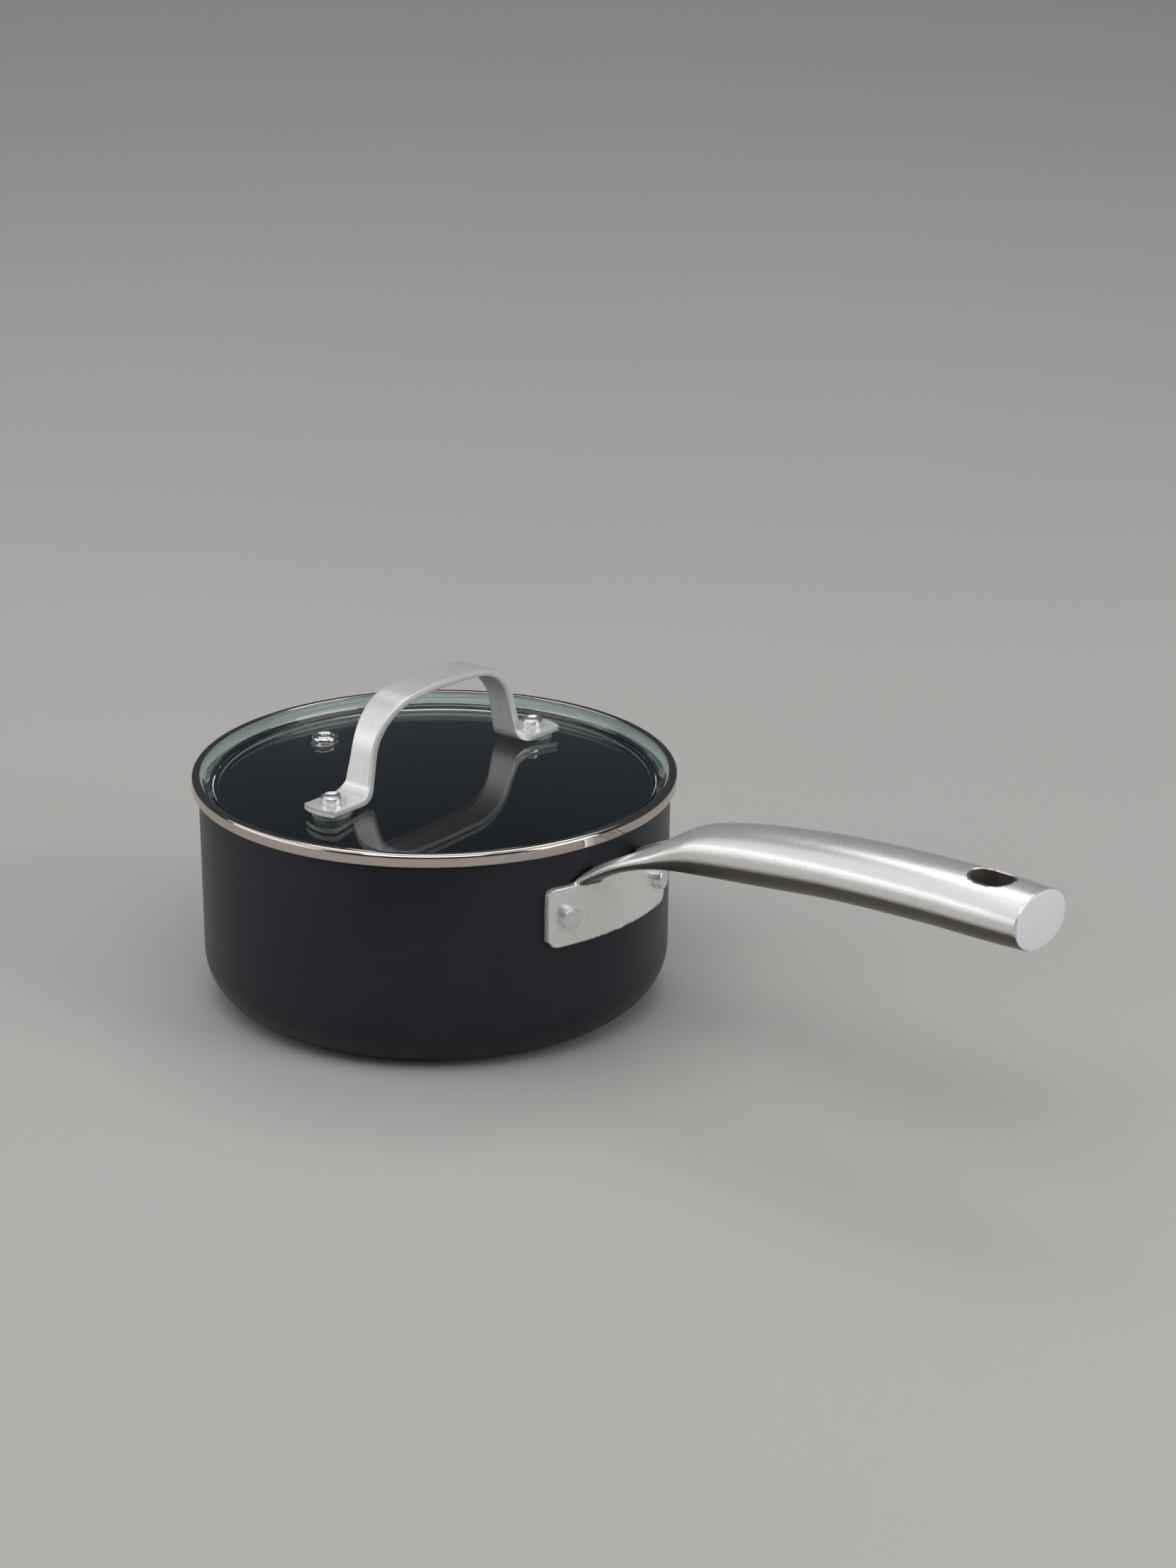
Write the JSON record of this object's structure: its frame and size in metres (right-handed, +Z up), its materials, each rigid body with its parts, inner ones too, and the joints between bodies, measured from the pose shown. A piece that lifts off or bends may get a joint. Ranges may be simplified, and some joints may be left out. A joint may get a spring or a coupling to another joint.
{
  "type": "lidded saucepan",
  "caption": "Small round saucepan with a riveted, forked hollow handle and a steel-banded glass lid that has a bent strap handle and a steam vent.",
  "frame": {"origin": "centre of the pan's base, on the table", "axes": "+Z up along the pan's axis, +X along the long handle towards its free end"},
  "size_m": [0.341, 0.17, 0.116],
  "materials": {
    "pan_metal": "hard-anodised, satin",
    "handle_steel": "brushed",
    "end_cap": "matt",
    "hole_liner": "satin",
    "rivets": "satin",
    "glass": "clear, green edge",
    "rim_steel": "polished",
    "seal": "matt",
    "eyelet": "polished",
    "washers": "satin",
    "strap_steel": "brushed lengthwise",
    "spacers": "translucent",
    "grommets": "matt"
  },
  "bodies": {
    "pan": {"pan_body": "pan_metal", "pan_handle": "handle_steel", "handle_end_cap": "end_cap", "hang_hole_sleeve": "hole_liner", "handle_rivet_left": "rivets", "handle_rivet_right": "rivets"},
    "lid": {"lid_glass": "glass", "lid_rim_band": "rim_steel", "lid_rim_seal": "seal", "vent_eyelet": "eyelet", "vent_washer": "washers", "lid_handle_strap": "strap_steel", "lid_rivet_left": "rivets", "lid_rivet_right": "rivets", "strap_spacer_left": "spacers", "strap_spacer_right": "spacers", "lid_grommet_left": "grommets", "lid_grommet_right": "grommets", "rivet_washer_left": "washers", "rivet_washer_right": "washers"}
  },
  "joints": [
    {"name": "lid_lift", "type": "slide", "parent": "pan", "child": "lid", "axis": [0, 0, 1], "range_m": [0, 0.12]}
  ]
}
